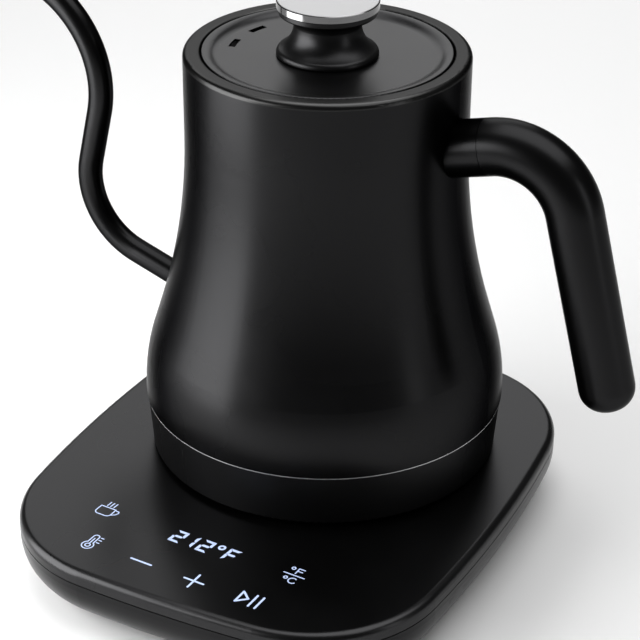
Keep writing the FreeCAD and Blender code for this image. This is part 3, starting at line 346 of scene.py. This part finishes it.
def masked_by(tree, build, name, height):
    """Output of a shared mask group, for a height."""
    node = tree.nodes.new("ShaderNodeGroup")
    node.node_tree = shared(name, build)
    node.inputs["Height"].default_value = height
    return node.outputs[name]


def by_height(tree, height, under, over):
    """A value that changes at a height."""
    above = masked_by(tree, above_group, "Above", height)
    return math_node(tree, "ADD", math_node(tree, "MULTIPLY", above, over - under), under)


def laid_over(tree, mask, socket, cover):
    """Put a colour or value over what feeds a socket, where a mask is one."""
    under = socket.links[0].from_socket
    colour = socket.type == "RGBA"
    kind = "RGBA" if colour else "FLOAT"
    first, second, result = MIX_SOCKETS[kind]
    node = tree.nodes.new("ShaderNodeMix")
    node.data_type = kind
    tree.links.new(mask, node.inputs["Factor"])
    tree.links.new(under, node.inputs[first])
    node.inputs[second].default_value = (*cover, 1) if colour else cover
    tree.links.new(node.outputs[result], socket)


def blank(name):
    material = bpy.data.materials.new(name)
    material.use_nodes = True
    shader = material.node_tree.nodes["Principled BSDF"]
    return material, material.node_tree, shader


def scaled(colour, factor):
    return [min(1.0, channel * factor) for channel in colour]


def grained(name, colour, roughness, grain_scale, grain_depth, specular=0.5, metallic=0.0, contrast=0.25):
    """Paint, moulding, rubber or cast metal: fine grain in the normal, drift in tone and gloss."""
    material, tree, shader = blank(name)
    grain = tree.nodes.new("ShaderNodeGroup")
    grain.node_tree = shared("Grain", grain_group)
    grain.inputs["Grain scale"].default_value = grain_scale
    tint = tinted(tree, grain.outputs["Drift"], scaled(colour, 1 - contrast), scaled(colour, 1 + contrast))
    tree.links.new(tint, shader.inputs["Base Color"])
    gloss = spread(tree, grain.outputs["Drift"], roughness - GRAIN_DRIFT, roughness + GRAIN_DRIFT)
    tree.links.new(gloss, shader.inputs["Roughness"])
    tree.links.new(raised_by(tree, grain.outputs["Grain"], grain_depth, GRAIN_RISE), shader.inputs["Normal"])
    shader.inputs["Specular IOR Level"].default_value = specular
    shader.inputs["Metallic"].default_value = metallic
    return material


def dark_satin(name, look, grain_scale, grain_depth):
    """Black satin finish, from its reflection, roughness and outline reflection."""
    reflection, roughness, outline = look
    colour = (reflection, reflection, reflection * BLUE_SHARE)
    material = grained(name, colour, roughness, grain_scale, grain_depth, metallic=1.0, contrast=0.08)
    shader = material.node_tree.nodes["Principled BSDF"]
    shader.inputs["Specular Tint"].default_value = (outline, outline, outline, 1)
    return material


def turned_metal(name, colour, roughness, depth):
    """Metal turned on a lathe: rings in gloss and normal about the kettle's axis."""
    material, tree, shader = blank(name)
    rings = tree.nodes.new("ShaderNodeGroup")
    rings.node_tree = shared("Turned rings", turned_group)
    dark, light = (scaled(colour, tone) for tone in RING_TONES)
    tint = tinted(tree, rings.outputs["Rings"], dark, light)
    tree.links.new(tint, shader.inputs["Base Color"])
    gloss = spread(tree, rings.outputs["Rings"], roughness - RING_DRIFT, roughness + RING_DRIFT)
    tree.links.new(gloss, shader.inputs["Roughness"])
    tree.links.new(raised_by(tree, rings.outputs["Rings"], depth, RING_RISE), shader.inputs["Normal"])
    shader.inputs["Metallic"].default_value = 1.0
    return material


def lit(name, colour):
    """Back-lit legend: even light with a faint mottle."""
    material, tree, shader = blank(name)
    grain = tree.nodes.new("ShaderNodeGroup")
    grain.node_tree = shared("Grain", grain_group)
    glow = tinted(tree, grain.outputs["Grain"], scaled(colour, GLOW_MOTTLE), colour)
    tree.links.new(glow, shader.inputs["Emission Color"])
    dark, light = (scaled(colour, tone) for tone in UNLIT_TONES)
    unlit = tinted(tree, grain.outputs["Drift"], dark, light)
    tree.links.new(unlit, shader.inputs["Base Color"])
    shader.inputs["Emission Strength"].default_value = 1.0
    shader.inputs["Roughness"].default_value = 0.4
    return material


def dress(material, *names):
    """Give CAD nodes this finish."""
    for name in names:
        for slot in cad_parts[name].material_slots:
            slot.material = material


# Pieces

def piece_of(name, mesh, body, material):
    """Object at the origin that rides on a body."""
    data = bpy.data.meshes.new(name)
    mesh.to_mesh(data)
    mesh.free()
    data.materials.append(material)
    piece = bpy.data.objects.new(name, data)
    bpy.context.scene.collection.objects.link(piece)
    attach(piece, body)
    return piece


class Legend:
    """Flat strokes on the base's cover, drawn in millimetres about a centre, then turned and raised."""

    def __init__(self, centre):
        self.mesh = bmesh.new()
        self.centre = Vector((centre[0], centre[1], 0)) * MM

    def fill(self, points):
        """Flat patch with these corners, in order."""
        corners = [self.mesh.verts.new((x * MM, y * MM, 0)) for x, y in points]
        self.mesh.faces.new(corners)

    def bar(self, start, end, stroke):
        """Straight stroke with round ends."""
        start, end = Vector((*start, 0)) * MM, Vector((*end, 0)) * MM
        along = end - start
        grid = bmesh.ops.create_grid(self.mesh, x_segments=1, y_segments=1, size=0.5)["verts"]
        bmesh.ops.scale(self.mesh, vec=(along.length + stroke, stroke, 1), verts=grid)
        corners = bmesh.ops.bevel(
            self.mesh, geom=grid, offset=stroke * STROKE_ROUND, offset_type="OFFSET", segments=4,
            profile=0.5, affect="VERTICES", material=-1, clamp_overlap=True)["verts"]
        bend = Matrix.Rotation(math.atan2(along.y, along.x), 4, "Z")
        place = Matrix.Translation((start + end) / 2)
        bmesh.ops.transform(self.mesh, matrix=place @ bend, verts=corners)

    def arc(self, centre, radius, first, sweep, stroke):
        """Curved stroke about a centre, from the angle first, in degrees."""
        start = Vector((math.cos(math.radians(first)), math.sin(math.radians(first)), 0))
        middle = Vector((*centre, 0)) * MM
        inner = self.mesh.verts.new(middle + start * (radius * MM - stroke / 2))
        outer = self.mesh.verts.new(middle + start * (radius * MM + stroke / 2))
        edge = self.mesh.edges.new((inner, outer))
        bmesh.ops.spin(
            self.mesh, geom=[inner, outer, edge], cent=middle, axis=(0, 0, 1), dvec=(0, 0, 0),
            angle=math.radians(sweep), steps=max(6, int(sweep / DEGREES_PER_STEP)),
            use_merge=sweep == FULL_TURN, use_normal_flip=False, use_duplicate=False)

    def lean(self, angle):
        shear = Matrix.Identity(4)
        shear[0][1] = math.tan(angle)
        bmesh.ops.transform(self.mesh, matrix=shear, verts=self.mesh.verts)

    def finish(self, name, sizes, material):
        """Turn, thicken and place the strokes on the cover."""
        mesh = self.mesh
        bmesh.ops.recalc_face_normals(mesh, faces=mesh.faces)
        for face in mesh.faces:
            if face.normal.z < 0:
                face.normal_flip()
        flat = list(mesh.faces)
        lifted = bmesh.ops.extrude_face_region(mesh, geom=flat, use_keep_orig=True)["geom"]
        risen = [item for item in lifted if isinstance(item, bmesh.types.BMVert)]
        bmesh.ops.translate(mesh, vec=(0, 0, sizes.thick), verts=risen)
        bmesh.ops.reverse_faces(mesh, faces=flat)
        turn = Matrix.Rotation(sizes.turn, 4, "Z")
        place = Matrix.Translation(self.centre + Vector((0, 0, COVER_TOP)))
        bmesh.ops.transform(mesh, matrix=place @ turn, verts=mesh.verts)
        return piece_of(name, mesh, "base", material)


# Lit segments of each sign
SIGNS = {
    "1": "top_right low_right",
    "2": "top top_right middle low_left bottom",
    "F": "top top_left middle low_left",
}


def segment_corners(wide, tall, stroke, gap):
    """Corners of the seven segments of a sign, mitred where two of them meet."""
    half = tall / 2
    low = tall - stroke
    top = [(gap, tall), (wide - gap, tall), (wide - stroke - gap, low), (stroke + gap, low)]
    side = [(0, tall - gap), (stroke, low - gap), (stroke, half + stroke / 2 + gap),
            (stroke / 2, half + gap), (0, half + gap)]
    left_end = [(stroke + gap, half - stroke / 2), (stroke / 2 + gap, half),
                (stroke + gap, half + stroke / 2)]

    def across(points):
        return [(wide - x, y) for x, y in points]

    def over(points):
        return [(x, tall - y) for x, y in points]

    return {
        "top": top, "bottom": over(top), "middle": left_end + across(left_end)[::-1],
        "top_left": side, "top_right": across(side),
        "low_left": over(side), "low_right": across(over(side)),
    }


def add_sign(legend, sign, left, sizes):
    """One seven-segment sign with its lower left corner at the distance left."""
    corners = segment_corners(
        sizes.digit_wide / MM, sizes.digit_tall / MM, sizes.digit_stroke / MM, sizes.digit_gap / MM)
    for name in SIGNS[sign].split():
        legend.fill([(left + x, y) for x, y in corners[name]])


class KETTLE_OT_paint(bpy.types.Operator):
    """Satin black paint on the body, spout, handle boss and lid, with a painted highlight on the body's rim
    """
    bl_idname = "kettle.paint"
    bl_label = "Painted steel"

    def execute(self, context):
        finish = context.scene.kettle_finishes
        sizes = context.scene.kettle_fittings
        paint = dark_satin("satin_black_paint", finish.paint, PAINT_GRAIN, 0.10)
        dress(paint, "spout_tube", "handle_boss", "handle_tang")
        body_paint_and_rim_highlight = dark_satin("body_paint_and_rim_highlight", finish.paint, PAINT_GRAIN, 0.10)
        tree = body_paint_and_rim_highlight.node_tree
        shader = tree.nodes["Principled BSDF"]
        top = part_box("body_shell")[1].z
        # Painted highlight: a brighter reflection of the same paint laid over the rim's rounded edge and,
        # brighter still, over its flat top
        rim = ((sizes.rim_edge_depth, finish.rim_edge_highlight), (sizes.rim_flat_depth, finish.rim_flat_highlight))
        for depth, tone in rim:
            above = masked_by(tree, above_group, "Above", top - depth)
            laid_over(tree, above, shader.inputs["Base Color"], (tone, tone, tone))
        bare = masked_by(tree, inside_group, "Inside", top - sizes.paint_depth)
        laid_over(tree, bare, shader.inputs["Base Color"], finish.steel)
        laid_over(tree, bare, shader.inputs["Roughness"], finish.steel_roughness)
        dress(body_paint_and_rim_highlight, "body_shell")
        dress(dark_satin("lid_paint", finish.lid_paint, PAINT_GRAIN, 0.10), "lid_cover")
        return {"FINISHED"}


class KETTLE_OT_mouldings(bpy.types.Operator):
    """Moulded plastic of the grip, knob, collar and base"""
    bl_idname = "kettle.mouldings"
    bl_label = "Plastic mouldings"

    def execute(self, context):
        finish = context.scene.kettle_finishes
        dress(dark_satin("grip_plastic", finish.grip, KETTLE_GRAIN, 0.10), "handle_grip")
        dress(dark_satin("knob_plastic", finish.knob, KETTLE_GRAIN, 0.05), "knob_neck")
        dress(dark_satin("collar_plastic", finish.collar, KETTLE_GRAIN, 0.08), "base_collar")
        dress(dark_satin("cover_plastic", finish.cover, BASE_GRAIN, 0.10), "base_top_cover")
        dress(dark_satin("shell_plastic", finish.shell, BASE_GRAIN, 0.10), "base_bottom_shell")
        socket = grained("connector_plastic", (0.045, 0.045, 0.048), roughness=0.5,
                         grain_scale=1800.0, grain_depth=0.15)
        dress(socket, "kettle_connector", "base_connector")
        return {"FINISHED"}


class KETTLE_OT_metals(bpy.types.Operator):
    """Steel, aluminium and brass parts"""
    bl_idname = "kettle.metals"
    bl_label = "Bare metal"

    def execute(self, context):
        finish = context.scene.kettle_finishes
        side_gloss, top_gloss = finish.cap_gloss
        # Painted shade: the cap's side is steel darkened to a share of the top's tone; the top's own tone is
        # laid over above its face
        cap = turned_metal("turned_cap_steel_shaded_side", scaled(finish.cap, finish.cap_side_shade), top_gloss, depth=0.12)
        tree = cap.node_tree
        shader = tree.nodes["Principled BSDF"]
        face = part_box("knob_cap")[1].z - context.scene.kettle_fittings.cap_edge_depth
        tree.links.new(by_height(tree, face, side_gloss, top_gloss), shader.inputs["Roughness"])
        laid_over(tree, masked_by(tree, above_group, "Above", face), shader.inputs["Base Color"], finish.cap)
        dress(cap, "knob_cap")
        inner = turned_metal("spun_inner_steel", finish.steel, finish.steel_roughness, depth=0.15)
        dress(inner, "heating_plate", "lid_liner")
        plain = grained("plain_steel", scaled(finish.steel, 0.9), finish.steel_roughness,
                        grain_scale=METAL_GRAIN, grain_depth=0.05, metallic=1.0, contrast=0.06)
        dress(plain, "ntc_probe", "mounting_posts", "element_pins", "touch_springs")
        screw = grained("screw_steel", scaled(finish.steel, 0.75), roughness=0.38,
                        grain_scale=METAL_GRAIN, grain_depth=0.05, metallic=1.0, contrast=0.08)
        dress(screw, "handle_set_screw", "collar_screws", "connector_screws", "ntc_nut", "knob_screw",
              "knob_washer", "base_screws", "base_connector_screws", "control_board_screws",
              "power_board_screws")
        cast = grained("cast_aluminium", (0.62, 0.62, 0.64), roughness=0.5,
                       grain_scale=700.0, grain_depth=0.3, metallic=1.0, contrast=0.1)
        dress(cast, "heat_spreader", "heating_element")
        brass = grained("contact_brass", (0.70, 0.50, 0.21), roughness=0.3,
                        grain_scale=METAL_GRAIN, grain_depth=0.06, metallic=1.0, contrast=0.08)
        dress(brass, "contact_rings", "base_contacts")
        return {"FINISHED"}


class KETTLE_OT_seam(bpy.types.Operator):
    """Line of bare steel in the seam between the body and its collar"""
    bl_idname = "kettle.seam"
    bl_label = "Bare seam"

    def execute(self, context):
        sizes = context.scene.kettle_fittings
        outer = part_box("base_collar")[1].x + sizes.seam_reach
        inner = outer - sizes.seam_width
        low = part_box("base_collar")[1].z + sizes.seam_play
        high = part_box("body_shell")[0].z - sizes.seam_play
        mesh = bmesh.new()
        outline = ((inner, low), (outer, low), (outer, high), (inner, high))
        corners = [mesh.verts.new((x, 0, z)) for x, z in outline]
        edges = [mesh.edges.new((corners[index - 1], corner)) for index, corner in enumerate(corners)]
        bmesh.ops.spin(
            mesh, geom=[*corners, *edges], cent=(0, 0, 0), axis=(0, 0, 1), dvec=(0, 0, 0), angle=math.tau,
            steps=SEAM_STEPS, use_merge=True, use_normal_flip=False, use_duplicate=False)
        bmesh.ops.recalc_face_normals(mesh, faces=mesh.faces)
        finish = context.scene.kettle_finishes
        steel = turned_metal("seam_steel", finish.steel, roughness=0.4, depth=0.1)
        piece_of("seam_line", mesh, "kettle", steel)
        return {"FINISHED"}


class KETTLE_OT_rubber(bpy.types.Operator):
    """Silicone and rubber seals, grommet and foot"""
    bl_idname = "kettle.rubber"
    bl_label = "Rubber parts"

    def execute(self, context):
        seal = grained("seal_silicone", (0.045, 0.045, 0.047), roughness=0.62,
                       grain_scale=1500.0, grain_depth=0.2, specular=0.3)
        dress(seal, "lid_gasket", "ntc_gasket", "cord_grommet")
        foot = grained("foot_silicone", (0.05, 0.05, 0.052), roughness=0.7,
                       grain_scale=1200.0, grain_depth=0.25, specular=0.3)
        dress(foot, "foot_ring")
        return {"FINISHED"}


class KETTLE_OT_electronics(bpy.types.Operator):
    """Boards and parts inside the base"""
    bl_idname = "kettle.electronics"
    bl_label = "Electronics"

    def execute(self, context):
        board = grained("board_lacquer", (0.02, 0.13, 0.06), roughness=0.35,
                        grain_scale=800.0, grain_depth=0.1)
        dress(board, "control_board", "power_board")
        plastic = grained("part_plastic", (0.03, 0.03, 0.034), roughness=0.45,
                          grain_scale=1400.0, grain_depth=0.15)
        dress(plastic, "relay", "transformer", "capacitor", "buzzer", "terminal_block", "thermal_cutouts")
        vinyl = grained("ribbon_vinyl", (0.36, 0.36, 0.38), roughness=0.5,
                        grain_scale=1400.0, grain_depth=0.1)
        dress(vinyl, "ribbon_cable")
        dress(lit("display_light", context.scene.kettle_finishes.light), "display_module")
        return {"FINISHED"}


class KETTLE_OT_readout(bpy.types.Operator):
    """Temperature shown by the seven-segment display"""
    bl_idname = "kettle.readout"
    bl_label = "Temperature readout"

    def execute(self, context):
        sizes = context.scene.kettle_legends
        light = lit("readout_light", context.scene.kettle_finishes.light)
        readout = Legend((-16.6, -91.4))
        for sign, left in (("2", 0.0), ("1", 5.0), ("2", 11.5), ("F", 22.3)):
            add_sign(readout, sign, left, sizes)
        readout.arc((19.2, 5.8), 1.05, 0, FULL_TURN, 0.8 * MM)
        readout.lean(sizes.digit_slant)
        readout.finish("temperature_readout", sizes, light)
        return {"FINISHED"}


class KETTLE_OT_keys(bpy.types.Operator):
    """Legends of the touch keys"""
    bl_idname = "kettle.keys"
    bl_label = "Key legends"

    def execute(self, context):
        sizes = context.scene.kettle_legends
        light = lit("key_light", context.scene.kettle_finishes.light)
        bold, fine = sizes.key_stroke, sizes.icon_stroke

        minus = Legend((-17.8, -107.15))
        minus.bar((-4.2, 0), (4.2, 0), bold)
        minus.finish("minus_legend", sizes, light)

        plus = Legend((4.3, -108.4))
        plus.bar((-3.9, 0), (3.9, 0), bold)
        plus.bar((0, -3.9), (0, 3.9), bold)
        plus.finish("plus_legend", sizes, light)

        start = Legend((25.6, -108.9))
        corners = [(-3.1, -3.05), (-3.1, 3.1), (0.35, 0.2)]
        for index, corner in enumerate(corners):
            start.bar(corners[index - 1], corner, bold)
        start.bar((2.3, -3.15), (2.3, 3.4), bold)
        start.bar((4.9, -3.15), (4.9, 3.4), bold)
        start.finish("start_legend", sizes, light)

        unit = Legend((33.6, -89.45))
        unit.bar((-4.1, 0), (4.1, 0), fine)
        unit.arc((-2.1, 3.55), 0.65, 0, FULL_TURN, fine)
        unit.bar((-0.15, 1.1), (-0.15, 4.2), fine)
        unit.bar((-0.15, 4.2), (2.1, 4.2), fine)
        unit.bar((-0.15, 2.7), (1.8, 2.7), fine)
        unit.arc((-2.0, -2.4), 0.65, 0, FULL_TURN, fine)
        unit.arc((1.1, -3.05), 1.5, 50, 282, fine)
        unit.finish("unit_legend", sizes, light)

        boil = Legend((-45.2, -85.8))
        boil.bar((-3.75, 1.75), (2.6, 1.75), fine)
        boil.arc((-2.2, -1.5), 1.65, 180, 90, fine)
        boil.bar((-3.85, -1.5), (-3.75, 1.75), fine)
        boil.bar((-2.2, -3.15), (1.0, -3.15), fine)
        boil.arc((1.0, -1.5), 1.65, 270, 90, fine)
        boil.bar((2.65, -1.5), (2.6, 1.75), fine)
        loop = [(2.6, 1.45), (4.3, 1.2), (4.65, 0.3), (4.1, -0.9), (2.5, -2.1)]
        for index in range(1, len(loop)):
            boil.bar(loop[index - 1], loop[index], fine)
        for across in (-1.8, -0.4, 1.0):
            boil.bar((across, 2.6), (across + 0.15, 5.0), fine)
        boil.finish("boil_legend", sizes, light)

        hold = Legend((-39.85, -104.6))
        hold.arc((0, -2.65), 0.95, 0, FULL_TURN, fine)
        hold.arc((0, -2.65), 2.2, 122, 296, fine)
        hold.bar((-1.15, -0.9), (-1.15, 2.8), fine)
        hold.bar((1.15, -0.9), (1.15, 2.8), fine)
        hold.bar((0, -1.6), (0, 1.8), fine)
        hold.arc((0, 2.8), 1.15, 0, 180, fine)
        for along in (0.0, 1.6, 3.1):
            hold.bar((1.95, along), (3.0, along), fine)
        hold.finish("hold_legend", sizes, light)
        return {"FINISHED"}


def add_softbox(name, place, target, wide, tall, watts):
    """Rectangular soft light at a place, facing a target."""
    lamp = bpy.data.lights.new(name, "AREA")
    lamp.shape = "RECTANGLE"
    lamp.size = wide
    lamp.size_y = tall
    lamp.energy = watts
    item = bpy.data.objects.new(name, lamp)
    bpy.context.scene.collection.objects.link(item)
    item.location = place
    item.visible_camera = False
    item.rotation_euler = (Vector(target) - Vector(place)).to_track_quat("-Z", "Y").to_euler()


class KETTLE_OT_stage(bpy.types.Operator):
    """Floor, studio light and camera"""
    bl_idname = "kettle.stage"
    bl_label = "Stage"

    def execute(self, context):
        studio = context.scene.kettle_studio
        scene = context.scene
        scene.view_settings.view_transform = "Standard"

        mesh = bmesh.new()
        bmesh.ops.create_grid(mesh, x_segments=1, y_segments=1, size=studio.floor_reach)
        data = bpy.data.meshes.new("studio_floor")
        mesh.to_mesh(data)
        mesh.free()
        floor = bpy.data.objects.new("studio_floor", data)
        scene.collection.objects.link(floor)
        material, _, shader = blank("pale_floor")
        shader.inputs["Base Color"].default_value = (*studio.floor, 1)
        shader.inputs["Roughness"].default_value = 0.9
        shader.inputs["Specular IOR Level"].default_value = 0.1
        data.materials.append(material)

        world = bpy.data.worlds.new("studio_world")
        world.use_nodes = True
        background = world.node_tree.nodes["Background"]
        background.inputs["Color"].default_value = (1, 1, 1, 1)
        background.inputs["Strength"].default_value = studio.surround
        scene.world = world

        for name, box in SOFTBOXES.items():
            add_softbox(name, *box)

        lens = bpy.data.cameras.new("photo_camera")
        lens.lens = studio.lens
        lens.sensor_width = SENSOR_WIDE
        camera = bpy.data.objects.new("photo_camera", lens)
        scene.collection.objects.link(camera)
        camera.matrix_world = camera_place()
        scene.camera = camera
        return {"FINISHED"}


def camera_place():
    """Camera beside the handle and above the panel, as the photograph was taken."""
    azimuth, pitch, roll = math.radians(26.704), math.radians(29.129), math.radians(0.48)
    distance, right_shift, up_shift = 0.756468, -0.001908, -0.004358
    middle = Vector((0, 0, 0.08))
    level = math.cos(pitch)
    back = Vector((math.sin(azimuth) * level, -math.cos(azimuth) * level, math.sin(pitch)))
    right = (-back).cross(Vector((0, 0, 1))).normalized()
    up = right.cross(-back)
    lean = Matrix.Rotation(roll, 3, back)
    right, up = lean @ right, lean @ up
    place = back * distance + right * right_shift + up * up_shift + middle
    turn = Matrix((right, up, back)).transposed().to_4x4()
    return Matrix.Translation(place) @ turn


class KETTLE_PT_build(bpy.types.Panel):
    """Lists the kettle's finishes, legends and stage"""
    bl_label = "Gooseneck kettle"
    bl_idname = "KETTLE_PT_build"
    bl_space_type = "VIEW_3D"
    bl_region_type = "UI"
    bl_category = "Kettle"

    def draw(self, context):
        for step in STEPS:
            self.layout.operator(step.bl_idname)
        for settings in SETTINGS:
            group = getattr(context.scene, settings)
            for name in group.__annotations__:
                self.layout.prop(group, name)


STEPS = (
    KETTLE_OT_paint,
    KETTLE_OT_mouldings,
    KETTLE_OT_metals,
    KETTLE_OT_seam,
    KETTLE_OT_rubber,
    KETTLE_OT_electronics,
    KETTLE_OT_readout,
    KETTLE_OT_keys,
    KETTLE_OT_stage,
)
SETTINGS = {
    "kettle_finishes": KettleFinishes,
    "kettle_legends": LegendSizes,
    "kettle_fittings": FittingSizes,
    "kettle_studio": StudioSettings,
}


def register():
    for kind in (*SETTINGS.values(), *STEPS, KETTLE_PT_build):
        bpy.utils.register_class(kind)
    for name, kind in SETTINGS.items():
        setattr(bpy.types.Scene, name, bpy.props.PointerProperty(type=kind))


def unregister():
    for name in SETTINGS:
        delattr(bpy.types.Scene, name)
    for kind in reversed((*SETTINGS.values(), *STEPS, KETTLE_PT_build)):
        bpy.utils.unregister_class(kind)


def main():
    register()
    for step in STEPS:
        family, name = step.bl_idname.split(".")
        getattr(getattr(bpy.ops, family), name)()


if __name__ == "__main__":
    main()
